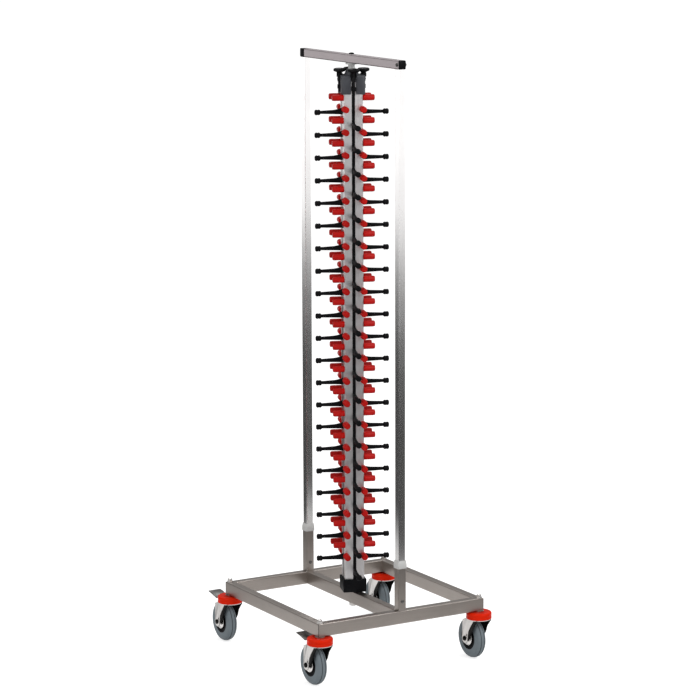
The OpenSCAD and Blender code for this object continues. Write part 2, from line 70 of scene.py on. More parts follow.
# Tiers on a side, the distance between them, and the height of the lowest arms
TIERS = 21
PITCH = 68.5 * MM
FIRST_ARM = 266.5 * MM
# Where pegs stand: above their arm, and to each side of the middle of a face
PEG_RISE = 45 * MM
PEG_SIDE = 26.7 * MM
# Distance of an arm's root from the axis, and the gap between its end and its rubber tip
ARM_ROOT = 29.7 * MM
TIP_GAP = 0.3 * MM
# Height at which each side's strip of arms is set, from the middle of its travel
SETTING = {"right": 0, "back": 0, "left": 0, "front": -6 * MM}
# The cap's ears are black above this height and beyond this distance from the axis
EAR_BASE = 1766 * MM
EAR_ROOT = 31 * MM
# Height of the underside of the knobs, and the threaded spindle below it
KNOB_SEAT = 1787.35 * MM
SPINDLE_FOOT = -55.9 * MM
SPINDLE_HEAD = -23 * MM
SPINDLE_RADIUS = 4 * MM
THREAD_DEPTH = 0.55 * MM
# Knob rim: its thickness, and the share of each rib's width that is cut back by a depth
RIM_THICKNESS = 0.9 * MM
RIB_GAP_FROM = 0.4
RIB_GAP_TO = 0.85
RIB_DEPTH = 0.5 * MM

# Half the width of the base, the height of its tubes and of their tops
BASE_HALF = 290 * MM
RAIL_HEIGHT = 40 * MM
BASE_TOP = 196 * MM
# Weld lines: radius, distance of their axes inside the corners, and height that they leave free
SEAM_RADIUS = 0.9 * MM
SEAM_INSET = 0.45 * MM
SEAM_SHORT = 4 * MM

# Height of the underside of the caster covers and of the fork crowns
COVER_SEAT = 135 * MM
CROWN_SEAT = COVER_SEAT - 5 * MM
# Distance of the insides of a fork's legs from the wheel's middle
LEG_INSIDE = 23 * MM
# Points of a fork's leg and how far they move, as (y, z, back, up) in mm behind the swivel axis
LEG_MOVES = ((-13, 98.5, 5, 7.5), (-8, 84.5, 8, 1), (41, 131, 9, -10))
# Distance within which a vertex counts as such a point
POINT_REACH = 0.5 * MM
# Edge down the front of a fork's leg, in front of which painted shade stands for a fold inwards, as
# (y, z) in mm behind the swivel axis
LEG_SHADE_EDGE = ((-10, 126), (7.8, 103.4), (18, 87), (22, 64))
# Black ring round the wheel centre, and the tread grooves on each side of the middle, whose bottoms
# get painted shade
RING_RADIUS = 36 * MM
GROOVE_FROM = 4.2 * MM
GROOVE_TO = 6.4 * MM
GROOVE_DEPTH = 1 * MM
# Nut and bolt head, painted near black as shade: radius, and least distance from the wheel's middle
NUT_RADIUS = 9.5 * MM
NUT_FROM = 18 * MM

# Distances at which vertices are merged, and the angle under which faces count as flat
DOUBLED = 1e-6
SOLID_DOUBLED = 2e-6
FLAT_ANGLE = math.radians(0.6)

# Scale of the brushed grain along and across a tube
GRAIN_ALONG = 9.0
GRAIN_ACROSS = 900.0

# Grey and glow of the floor, and the strength of the world as a light
FLOOR_GREY = 0.62
FLOOR_GLOW = 0.68
WORLD_LIGHT = 0.62
# How much dimmer metal sees the floor, as (from, to, change) by distance from the middle
FLOOR_RINGS = ((0.5, 1.8, 0.955), (5.0, 8.5, -0.2), (7.8, 10.8, -0.785))
# How much brighter metal sees the world, as (from, to, change at each) by upward direction
WORLD_BANDS = ((0.12, 0.30, -0.95, -0.74), (0.30, 0.60, 0.0, 0.70))
# Lamps as (name, place, target, width, height, power)
LAMPS = (
    ("Key", (1.6, -4.2, 3.4), (0, 0, 0.9), 2.2, 2.6, 95),
    ("Fill", (-4.4, -1.6, 2.4), (0, 0, 0.8), 2.4, 2.4, 55),
    ("Back", (1.5, 3.0, 5.4), (0, 0, 0.9), 2.4, 2.0, 70),
)
# The camera's place, and its yaw, pitch and roll in degrees
CAMERA_PLACE = (-4.411, -7.4936, 2.5108)
CAMERA_ANGLES = (30.546, 10.232, -0.188)


# Sizes and colours that a user would change


def length(name, description, value):
    return FloatProperty(name=name, description=description, default=value, unit="LENGTH")


def colour(name, description, value):
    return FloatVectorProperty(name=name, description=description, default=value, subtype="COLOR")


class RackPegSizes(bpy.types.PropertyGroup):
    diameter: length("Diameter", "Diameter of a red peg", 19 * MM)
    reach: length("Reach", "Length of a red peg from the column's face", 34.5 * MM)
    sides: IntProperty(name="Sides", description="Facets round a peg", default=16)


class RackArmSizes(bpy.types.PropertyGroup):
    width: length("Width", "Width of an arm at its root", 8 * MM)
    tip_start: length("Tip start", "Distance of the rubber tip from the axis", 95.5 * MM)
    tip_length: length("Tip length", "Length of the rubber tip", 17 * MM)
    tip_diameter: length("Tip diameter", "Diameter of the rubber tip", 17 * MM)


class RackKnobSizes(bpy.types.PropertyGroup):
    diameter: length("Diameter", "Diameter of a knob", 36 * MM)
    ribs: IntProperty(name="Ribs", description="Grip ribs round a knob", default=24)
    thread_pitch: length("Thread pitch", "Height from one thread to the next", 2 * MM)


class RackCasterSizes(bpy.types.PropertyGroup):
    tyre_sides: IntProperty(name="Tyre sides", description="Facets round a tyre", default=96)
    wheel_radius: length("Wheel radius", "Radius of a wheel", 62.5 * MM)
    wheel_width: length("Wheel width", "Width of a tyre", 30 * MM)


class RackColours(bpy.types.PropertyGroup):
    frame_steel: colour("Frame steel", "Base tubes and sockets", (0.315, 0.283, 0.26))
    post_steel: colour("Post steel", "Upper posts", (0.97, 0.955, 0.95))
    bar_steel: colour("Bar steel", "Top bar", (0.47, 0.42, 0.43))
    aluminium: colour("Aluminium", "Corner profiles of the column", (0.86, 0.85, 0.86))
    zinc: colour("Zinc", "Forks, axles and bolts", (0.55, 0.53, 0.515))
    black: colour("Black plastic", "Strips, arms, knobs and foot", (0.006, 0.006, 0.007))
    slate: colour("Slate plastic", "Column cap", (0.060, 0.063, 0.073))
    pale: colour("Pale plastic", "Collars and bush", (0.55, 0.55, 0.54))
    red: colour("Red rubber", "Pegs", (0.47, 0.006, 0.004))
    orange: colour("Orange plastic", "Caster covers", (0.70, 0.018, 0.002))
    tyre: colour("Tyre rubber", "Tyres", (0.165, 0.195, 0.215))


class RackStageSizes(bpy.types.PropertyGroup):
    floor: length("Floor", "Width of the floor", 160.0)
    lens: FloatProperty(name="Lens", description="Focal length in mm", default=149.161)


# Modelling helpers


def deselect():
    if bpy.context.object and bpy.context.object.mode != "OBJECT":
        bpy.ops.object.mode_set(mode="OBJECT")
    bpy.ops.object.select_all(action="DESELECT")


def pick(*pieces):
    deselect()
    for piece in pieces:
        piece.select_set(True)
    bpy.context.view_layer.objects.active = pieces[0]


def edit(piece):
    pick(piece)
    bpy.ops.object.mode_set(mode="EDIT")
    bpy.ops.mesh.select_mode(type="VERT")
    bpy.ops.mesh.select_all(action="SELECT")


def leave():
    bpy.ops.object.mode_set(mode="OBJECT")


def edit_some(piece, chosen):
    """Edits a piece with only those vertices selected that are chosen by their place."""
    edit(piece)
    bpy.ops.mesh.select_all(action="DESELECT")
    leave()
    for vertex in piece.data.vertices:
        vertex.select = chosen(vertex.co)
    bpy.ops.object.mode_set(mode="EDIT")


def name_piece(piece, name):
    piece.name = name
    piece.data.name = name
    return piece


def apply_modifier(piece, kind, **values):
    """Adds a modifier, sets its values and applies it."""
    pick(piece)
    modifier = piece.modifiers.new(kind.title(), kind)
    for key, value in values.items():
        setattr(modifier, key, value)
    bpy.ops.object.modifier_apply(modifier=modifier.name)
    return piece


def smooth(piece, degrees=32):
    pick(piece)
    bpy.ops.object.shade_smooth_by_angle(angle=math.radians(degrees))
    return piece


def place(piece, matrix):
    """Moves a piece to where it belongs and applies the move to its mesh."""
    pick(piece)
    piece.matrix_world = matrix @ piece.matrix_world
    bpy.ops.object.transform_apply(location=True, rotation=True, scale=True)
    return piece


def twin(piece):
    """A copy of a piece with a mesh of its own."""
    copy = piece.copy()
    copy.data = piece.data.copy()
    bpy.context.collection.objects.link(copy)
    return copy


def stacked(pattern):
    """A copy of a piece, repeated at each tier of a side."""
    return apply_modifier(
        twin(pattern),
        "ARRAY",
        count=TIERS,
        use_relative_offset=False,
        use_constant_offset=True,
        constant_offset_displace=(0, 0, PITCH),
    )


def join(pieces, name):
    pick(*pieces)
    if len(pieces) > 1:
        bpy.ops.object.join()
    return name_piece(bpy.context.object, name)


def remove(pieces):
    for piece in pieces:
        bpy.data.objects.remove(piece)


def clean(piece):
    """Merges doubled vertices and turns all faces outwards."""
    edit(piece)
    bpy.ops.mesh.remove_doubles(threshold=DOUBLED)
    bpy.ops.mesh.normals_make_consistent(inside=False)
    leave()
    return piece


def in_mm(*rings):
    return [(radius * MM, height * MM) for radius, height in rings]


def mirrored(*half):
    """A profile in mm from one face of a wheel to the other, from its half."""
    return in_mm(*half, *((radius, -height) for radius, height in reversed(half)))


def close_end(radius):
    """Closes the selected loop with a face that has a smaller one inside."""
    bpy.ops.mesh.edge_face_add()
    bpy.ops.mesh.inset(thickness=radius * 0.4, depth=0)


def lathe(name, rings, sides, closed=False):
    """Turns a profile of (radius, height) rings about Z by extruding and scaling a circle."""
    deselect()
    radius, height = rings[0]
    bpy.ops.mesh.primitive_circle_add(vertices=sides, radius=radius, fill_type="NOTHING")
    piece = bpy.context.object
    edit(piece)
    bpy.ops.transform.translate(value=(0, 0, height))
    if not closed:
        close_end(radius)
        bpy.ops.mesh.select_all(action="SELECT")
        bpy.ops.mesh.select_mode(type="EDGE")
        bpy.ops.mesh.region_to_loop()
    for next_radius, next_height in rings[1:] + (rings[:1] if closed else []):
        rise, grow = next_height - height, next_radius / radius
        bpy.ops.mesh.extrude_region_move(TRANSFORM_OT_translate={"value": (0, 0, rise)})
        bpy.ops.transform.resize(value=(grow, grow, 1), center_override=(0, 0, next_height))
        radius, height = next_radius, next_height
    if not closed:
        close_end(radius)
    leave()
    return name_piece(clean(piece), name)


def solid_copy(node):
    """A copy of a solid with its doubled vertices merged and its flat faces joined."""
    piece = twin(frame["nodes"][node])
    piece.parent = None
    piece.matrix_world = Matrix.Identity(4)
    piece.hide_render = False
    piece.data.materials.clear()
    edit(piece)
    bpy.ops.mesh.remove_doubles(threshold=SOLID_DOUBLED)
    bpy.ops.mesh.dissolve_limited(angle_limit=FLAT_ANGLE)
    leave()
    return piece


def soften(piece, width):
    """Rounds the edges of a piece as on a moulded or rolled one."""
    apply_modifier(
        piece,
        "BEVEL",
        width=width,
        segments=2,
        limit_method="ANGLE",
        angle_limit=math.radians(30),
        use_clamp_overlap=True,
        harden_normals=True,
    )
    return smooth(piece, 40)


def side_matrix(side, radius, height, across=0.0):
    """From a piece made along +X to its place on a side of the column."""
    turn = COLUMN_TURN + SIDES.index(side) * math.pi / 2
    return (
        Matrix.Translation((COLUMN.x, COLUMN.y, 0))
        @ Matrix.Rotation(turn, 4, "Z")
        @ Matrix.Translation((radius, across, height))
    )


def outwards(x, z=0.0):
    """Lays a piece that was made along Z along +X, with its foot at x."""
    return Matrix.Translation((x, 0, z)) @ Matrix.Rotation(math.pi / 2, 4, "Y")


def first_place(side):
    return FIRST_ARM + (PITCH / 2 if side in ("right", "left") else 0)


def finish_piece(piece, material, body, slot, *nodes):
    piece.data.materials.clear()
    piece.data.materials.append(material)
    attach(piece, body)
    if nodes:
        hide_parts(*nodes)
    return piece


def paint(piece, material, chosen):
    """Gives a second material to the faces that are chosen by their centre and normal."""
    piece.data.materials.append(material)
    for face in piece.data.polygons:
        if chosen(face.center, face.normal):
            face.material_index = len(piece.data.materials) - 1


def from_axle(at, wheel):
    """Distance of a point from a wheel's axle."""
    return math.hypot(at.y - wheel.y, at.z - wheel.z)


def dress_node(node, material):
    """Gives a solid that stays a material of its own."""
    solid = frame["nodes"][node]
    if not solid.material_slots:
        solid.data.materials.append(None)
    for slot in solid.material_slots:
        slot.material = material


# Shader helpers: a value may be a socket or a number

VECTOR, COLOUR, FLOAT = "NodeSocketVector", "NodeSocketColor", "NodeSocketFloat"
GREY = (0.5, 0.5, 0.5, 1)
WHITE = (1, 1, 1, 1)


def feed(tree, socket, value):
    if isinstance(value, (int, float)):
        socket.default_value = value
    else:
        tree.links.new(value, socket)


def noise(tree, vector, scale, detail, roughness=0.55):
    node = tree.nodes.new("ShaderNodeTexNoise")
    for label, value in (("Scale", scale), ("Detail", detail), ("Roughness", roughness)):
        feed(tree, node.inputs[label], value)
    tree.links.new(vector, node.inputs["Vector"])
    return node.outputs["Fac"]


def spread(tree, value, low, high, out_low, out_high):
    """Maps a value from low..high to out_low..out_high."""
    node = tree.nodes.new("ShaderNodeMapRange")
    tree.links.new(value, node.inputs["Value"])
    for label, end in zip(
        ("From Min", "From Max", "To Min", "To Max"), (low, high, out_low, out_high)
    ):
        feed(tree, node.inputs[label], end)
    return node.outputs["Result"]


def calculated(tree, operation, a, b):
    node = tree.nodes.new("ShaderNodeMath")
    node.operation = operation
    for socket, value in zip(node.inputs, (a, b)):
        feed(tree, socket, value)
    return node.outputs[0]


def scaled(tree, a, b):
    return calculated(tree, "MULTIPLY", a, b)


def added(tree, a, b):
    return calculated(tree, "ADD", a, b)


def swung(tree, value, low, high, amount):
    """Maps a value from low..high to -amount..amount."""
    return spread(tree, value, low, high, scaled(tree, amount, -1.0), amount)


def tinted(tree, colour, value):
    """A colour made lighter and darker by a value round 1."""
    node = tree.nodes.new("ShaderNodeVectorMath")
    node.operation = "SCALE"
    tree.links.new(colour, node.inputs[0])
    tree.links.new(value, node.inputs["Scale"])
    return node.outputs[0]


# Shader node groups


def new_group(name, *inputs):
    """A node group with these inputs, and with a finish's colour, roughness and height."""
    tree = bpy.data.node_groups.new(name, "ShaderNodeTree")
    for label, kind, value in inputs:
        socket = tree.interface.new_socket(name=label, in_out="INPUT", socket_type=kind)
        if value is not None:
            socket.default_value = value
    for label, kind in (("Colour", COLOUR), ("Roughness", FLOAT), ("Height", FLOAT)):
        tree.interface.new_socket(name=label, in_out="OUTPUT", socket_type=kind)
    start, end = tree.nodes.new("NodeGroupInput"), tree.nodes.new("NodeGroupOutput")
    return tree, start.outputs, end.inputs


def give(tree, results, tone, rough, height):
    """Links the three results of a node group."""
    for label, value in (("Colour", tone), ("Roughness", rough), ("Height", height)):
        tree.links.new(value, results[label])


def brushed_group():
    """Fine lines along a tube, broad smudges, and the roughness that goes with both."""
    tree, given, results = new_group(
        "Brushed Grain",
        ("Along", VECTOR, None),
        ("Place", VECTOR, None),
        ("Colour", COLOUR, GREY),
        ("Streak", FLOAT, 0.1),
        ("Smudge", FLOAT, 0.1),
        ("Roughness", FLOAT, 0.3),
    )
    lines = noise(tree, given["Along"], 1.0, 3.0, 0.6)
    cloud = noise(tree, given["Place"], 7.0, 4.0, 0.6)
    line_tone = swung(tree, lines, 0.25, 0.75, given["Streak"])
    cloud_tone = swung(tree, cloud, 0.3, 0.7, given["Smudge"])
    tone = added(tree, added(tree, line_tone, cloud_tone), 1.0)
    rough = added(tree, given["Roughness"], scaled(tree, cloud_tone, 0.12))
    rough = added(tree, rough, scaled(tree, line_tone, 0.35))
    give(tree, results, tinted(tree, given["Colour"], tone), rough, lines)
    return tree


def moulded_group():
    """The fine skin of moulded plastic or rubber, with faint blotches and handled patches."""
    tree, given, results = new_group(
        "Moulded Skin",
        ("Place", VECTOR, None),
        ("Colour", COLOUR, GREY),
        ("Grain Scale", FLOAT, 900.0),
        ("Blotch", FLOAT, 0.08),
        ("Roughness", FLOAT, 0.5),
    )
    grain = noise(tree, given["Place"], given["Grain Scale"], 2.0, 0.5)
    blotch = noise(tree, given["Place"], 22.0, 4.0, 0.6)
    blotch_tone = swung(tree, blotch, 0.3, 0.7, given["Blotch"])
    tone = added(tree, blotch_tone, 1.0)
    rough = added(tree, given["Roughness"], scaled(tree, blotch_tone, 0.7))
    give(tree, results, tinted(tree, given["Colour"], tone), rough, grain)
    return tree


def spangle_group():
    """Zinc plating: small crystal patches that catch the light in turn."""
    tree, given, results = new_group(
        "Zinc Spangle",
        ("Place", VECTOR, None),
        ("Colour", COLOUR, GREY),
        ("Patch", FLOAT, 0.08),
        ("Roughness", FLOAT, 0.35),
    )
    cells = tree.nodes.new("ShaderNodeTexVoronoi")
    cells.inputs["Scale"].default_value = 260.0
    tree.links.new(given["Place"], cells.inputs["Vector"])
    grey = tree.nodes.new("ShaderNodeSeparateColor")
    tree.links.new(cells.outputs["Color"], grey.inputs["Color"])
    patch = swung(tree, grey.outputs[0], 0.0, 1.0, given["Patch"])
    cloud = noise(tree, given["Place"], 30.0, 3.0)
    cloud_tone = spread(tree, cloud, 0.3, 0.7, -0.06, 0.06)
    tone = added(tree, added(tree, patch, cloud_tone), 1.0)
    rough = added(tree, given["Roughness"], patch)
    give(tree, results, tinted(tree, given["Colour"], tone), rough, cloud)
    return tree


GROUPS = {}
MATERIALS = {}


def new_material(name):
    material = bpy.data.materials.new(name)
    material.use_nodes = True
    tree = material.node_tree
    shader = tree.nodes["Principled BSDF"]
    place_at = tree.nodes.new("ShaderNodeTexCoord").outputs["Object"]
    return material, tree, shader, place_at


def new_finish(name, kind, bump, distance, **values):
    """A material that takes its colour, roughness and bump from a node group."""
    material, tree, shader, place_at = new_material(name)
    group = tree.nodes.new("ShaderNodeGroup")
    group.node_tree = GROUPS[kind]
    for label, value in values.items():
        group.inputs[label.replace("_", " ")].default_value = value
    relief = tree.nodes.new("ShaderNodeBump")
    relief.inputs["Strength"].default_value = bump
    relief.inputs["Distance"].default_value = distance
    for start, end in (
        (place_at, group.inputs["Place"]),
        (group.outputs["Colour"], shader.inputs["Base Color"]),
        (group.outputs["Roughness"], shader.inputs["Roughness"]),
        (group.outputs["Height"], relief.inputs["Height"]),
        (relief.outputs["Normal"], shader.inputs["Normal"]),
    ):
        tree.links.new(start, end)
    MATERIALS[name] = material
    return tree, shader, group, place_at


def brushed_metal(name, tint, along, roughness=0.3, streak=0.08, smudge=0.06, bump=0.12):
    """Metal with a grain along X, Y or Z."""
    look = {"Colour": (*tint, 1), "Streak": streak, "Smudge": smudge, "Roughness": roughness}
    tree, shader, group, place_at = new_finish(name, "Brushed Grain", bump, 0.2 * MM, **look)
    stretch = tree.nodes.new("ShaderNodeMapping")
    grain = [GRAIN_ALONG if axis == along else GRAIN_ACROSS for axis in "XYZ"]
    stretch.inputs["Scale"].default_value = grain
    tree.links.new(place_at, stretch.inputs["Vector"])
    tree.links.new(stretch.outputs["Vector"], group.inputs["Along"])
    shader.inputs["Metallic"].default_value = 1.0


def moulded(name, tint, roughness, grain=900.0, blotch=0.08, bump=0.15, specular=0.3):
    """Plastic or rubber."""
    look = {"Colour": (*tint, 1), "Grain_Scale": grain, "Blotch": blotch, "Roughness": roughness}
    shader = new_finish(name, "Moulded Skin", bump, 0.2 * MM, **look)[1]
    shader.inputs["Specular IOR Level"].default_value = specular


def plated(name, tint, roughness, patch=0.06):
    """Zinc-plated steel."""
    look = {"Colour": (*tint, 1), "Patch": patch, "Roughness": roughness}
    shader = new_finish(name, "Zinc Spangle", 0.08, 0.3 * MM, **look)[1]
    shader.inputs["Metallic"].default_value = 1.0


def shade_of(tint, share):
    return [min(1.0, part * share) for part in tint]


class RACK_OT_finishes(bpy.types.Operator):
    """Makes the materials of the trolley and gives them to the solids that stay"""

    bl_idname = "rack.finishes"
    bl_label = "Finishes"

    def make_materials(self, tint):
        for axis in "XYZ":
            brushed_metal("Frame steel " + axis, tint.frame_steel, axis, roughness=0.34)
        brushed_metal("Post steel", tint.post_steel, "Z", roughness=0.15, streak=0.05, bump=0.06)
        brushed_metal("Bar steel", tint.bar_steel, "Y", streak=0.06)
        brushed_metal(
            "Anodised aluminium", tint.aluminium, "Z", roughness=0.38, streak=0.04, smudge=0.03
        )
        plated("Zinc plate", tint.zinc, 0.34)
        plated("Dark bolt", shade_of(tint.zinc, 0.25), 0.4, 0.03)
        plated("Bright bolt", shade_of(tint.zinc, 1.15), 0.22, 0.03)
        # Near-black steel that paints shade on the forks' legs and on the axle nuts
        plated("Painted shade steel", shade_of(tint.zinc, 0.02), 0.6, 0.03)
        plated("Pedal steel", shade_of(tint.zinc, 0.3), 0.45, 0.03)
        plated("Weld line", shade_of(tint.frame_steel, 0.12), 0.6, 0.1)
        moulded("Black plastic", tint.black, 0.5, specular=0.06)
        moulded("Glossy black", tint.black, 0.26, grain=300.0, bump=0.04, specular=0.12)
        moulded("Slate plastic", tint.slate, 0.42)
        moulded("Pale plastic", tint.pale, 0.45)
        moulded("Black rubber", shade_of(tint.black, 0.9), 0.6, grain=600.0, specular=0.08)
        moulded("Red rubber", tint.red, 0.42, grain=500.0, blotch=0.1, specular=0.14)
        moulded(
            "Orange plastic", tint.orange, 0.3, grain=300.0, blotch=0.05, bump=0.05, specular=0.06
        )
        moulded("Tyre rubber", tint.tyre, 0.6, grain=420.0, blotch=0.12, bump=0.25)
        # Darker copy of the tyre rubber: painted shade in the tread grooves
        moulded("Tyre groove shade", shade_of(tint.tyre, 0.35), 0.7)
        moulded("Wheel centre", tint.black, 0.55, specular=0.05)

    def execute(self, context):
        GROUPS["Brushed Grain"] = brushed_group()
        GROUPS["Moulded Skin"] = moulded_group()
        GROUPS["Zinc Spangle"] = spangle_group()
        self.make_materials(context.scene.rack_colours)
        for node, material in (
            ("front_rail", "Frame steel X"),
            ("back_rail", "Frame steel X"),
            ("left_rail", "Frame steel Y"),
            ("right_rail", "Frame steel Y"),
            ("cross_member", "Frame steel Y"),
            ("top_bar", "Bar steel"),
            ("post_sockets", "Frame steel Z"),
            ("front_post", "Post steel"),
            ("back_post", "Post steel"),
            ("corner_profiles", "Anodised aluminium"),
            ("column_core", "Black plastic"),
            ("caster_stems", "Zinc plate"),
            ("bottom_pivot", "Zinc plate"),
            ("top_bush", "Pale plastic"),
            ("top_pivot_pin", "Black plastic"),
            ("frame_bolts", "Dark bolt"),
            ("caster_nuts", "Bright bolt"),
        ):
            dress_node(node, MATERIALS[material])
        for side in SIDES:
            dress_node(side + "_strip", MATERIALS["Black plastic"])
        return {"FINISHED"}


class RACK_OT_mouldings(bpy.types.Operator):
    """Rounds the edges of the cap, foot, collars and bar ends"""

    bl_idname = "rack.mouldings"
    bl_label = "Cap, foot, collars and bar ends"

    def on_ear(self, at, normal):
        """Whether a face of the cap is on one of the ears that carry the knobs."""
        return math.hypot(at.x - COLUMN.x, at.y - COLUMN.y) > EAR_ROOT and at.z > EAR_BASE

    def execute(self, context):
        for node, width, material, body, slot in (
            ("column_cap", 0.8 * MM, "Slate plastic", "column", "grey_plastic"),
            ("foot_block", 1.2 * MM, "Black plastic", "column", "black_plastic"),
            ("post_collars", 0.8 * MM, "Pale plastic", "frame", "white_plastic"),
            ("bar_ends", 0.8 * MM, "Black plastic", "frame", "black_plastic"),
        ):
            piece = name_piece(soften(solid_copy(node), width), node + "_moulding")
            finish_piece(piece, MATERIALS[material], body, slot, node)
            if node == "column_cap":
                paint(piece, MATERIALS["Black plastic"], self.on_ear)
        return {"FINISHED"}


class RACK_OT_seams(bpy.types.Operator):
    """Draws the dark weld lines down the mitred corners of the base"""

    bl_idname = "rack.seams"
    bl_label = "Corner seams"

    def execute(self, context):
        half, middle = BASE_HALF - SEAM_INSET, BASE_TOP - RAIL_HEIGHT / 2
        seams = []
        for x, y in ((-1, -1), (1, -1), (1, 1), (-1, 1)):
            deselect()
            bpy.ops.mesh.primitive_cylinder_add(
                vertices=12,
                radius=SEAM_RADIUS,
                depth=RAIL_HEIGHT - SEAM_SHORT,
                location=(COLUMN.x + x * half, COLUMN.y + y * half, middle),
            )
            seams.append(place(bpy.context.object, Matrix.Identity(4)))
        piece = smooth(join(seams, "corner_seams"))
        finish_piece(piece, MATERIALS["Weld line"], "frame", "frame_steel")
        return {"FINISHED"}


class RACK_OT_pegs(bpy.types.Operator):
    """Makes the red rubber pegs on the four sides of the column"""

    bl_idname = "rack.pegs"
    bl_label = "Pegs"

    def make_peg(self, sizes):
        """A peg with a grooved head."""
        r, end = sizes.diameter / 2, sizes.reach
        rings = [
            (r - 0.6 * MM, 0),
            (r, 0.6 * MM),
            (r, end - 5.6 * MM),
            (r - 0.45 * MM, end - 5 * MM),
            (r - 0.45 * MM, end - 2.4 * MM),
            (r - 1.2 * MM, end - 0.8 * MM),
            (r - 2.8 * MM, end),
        ]
        return smooth(place(lathe("peg_pattern", rings, sizes.sides), outwards(0)), 40)

    def execute(self, context):
        pattern = self.make_peg(context.scene.rack_pegs)
        for side in SIDES:
            height = first_place(side) + PEG_RISE
            columns = [
                place(stacked(pattern), side_matrix(side, COLUMN_HALF, height, across))
                for across in (-PEG_SIDE, PEG_SIDE)
            ]
            pegs = join(columns, side + "_peg_rows")
            finish_piece(pegs, MATERIALS["Red rubber"], "column", "red_rubber", side + "_pegs")
        remove([pattern])
        return {"FINISHED"}


class RACK_OT_arms(bpy.types.Operator):
    """Makes the tapered arms and their rubber tips on the four strips"""

    bl_idname = "rack.arms"
    bl_label = "Arms and tips"

    def make_arm(self, sizes):
        """An arm lofted outwards from its root, level with its tip at height 0."""
        # Distance from the axis, height of the underside and of the top in mm, share of the width
        stations = (
            (ARM_ROOT, -7.0, 12.5, 1.0),
            (ARM_ROOT + 7 * MM, -6.7, 10.0, 0.98),
            (ARM_ROOT + 16 * MM, -6.3, 8.0, 0.95),
            (ARM_ROOT + 25 * MM, -5.8, 6.5, 0.92),
            (sizes.tip_start - TIP_GAP, -4.4, 4.6, 0.86),
        )
        deselect()
        bpy.ops.mesh.primitive_plane_add(size=1)
        arm = bpy.context.object
        edit(arm)
        root, low, high, share = stations[0]
        bpy.ops.transform.resize(value=((high - low) * MM, sizes.width * share, 1))
        leave()
        place(arm, outwards(root, (low + high) / 2 * MM))
        edit(arm)
        bpy.ops.mesh.select_mode(type="FACE")
        for (x0, l0, h0, w0), (x1, l1, h1, w1) in zip(stations, stations[1:]):
            move = (x1 - x0, 0, ((l1 + h1) - (l0 + h0)) / 2 * MM)
            bpy.ops.mesh.extrude_region_move(TRANSFORM_OT_translate={"value": move})
            bpy.ops.transform.resize(
                value=(1, w1 / w0, (h1 - l1) / (h0 - l0)),
                center_override=(x1, 0, (l1 + h1) / 2 * MM),
            )
        leave()
        edge = {"limit_method": "ANGLE", "angle_limit": math.radians(50)}
        apply_modifier(clean(arm), "BEVEL", width=0.9 * MM, segments=2, **edge)
        return smooth(arm, 40)

    def make_tip(self, sizes):
        """A rubber barrel with a shallow groove round its middle."""
        r, end = sizes.tip_diameter / 2, sizes.tip_length
        rings = [
            (r - 3.0 * MM, 0),
            (r - 2.2 * MM, 0.3 * MM),
            (r - 0.6 * MM, 2.2 * MM),
            (r, 3.8 * MM),
            (r, end / 2 - 2.0 * MM),
            (r - 0.8 * MM, end / 2 - 0.6 * MM),
            (r - 0.8 * MM, end / 2 + 0.6 * MM),
            (r, end / 2 + 2.0 * MM),
            (r, end - 3.4 * MM),
            (r - 1.0 * MM, end - 1.5 * MM),
            (r - 3.0 * MM, end),
        ]
        return place(smooth(lathe("tip_pattern", rings, 16), 50), outwards(sizes.tip_start))

    def execute(self, context):
        sizes = context.scene.rack_arms
        arm, tip = self.make_arm(sizes), self.make_tip(sizes)
        for side in SIDES:
            for pattern, kind, material in (
                (arm, "arm", "Black plastic"),
                (tip, "tip", "Black rubber"),
            ):
                row = stacked(pattern)
                place(row, side_matrix(side, 0, first_place(side) + SETTING[side]))
                name_piece(row, f"{side}_{kind}_row")
                body = side + "_rail_of_arms"
                finish_piece(row, MATERIALS[material], body, "black_plastic", side + "_arms")
        remove([arm, tip])
        return {"FINISHED"}


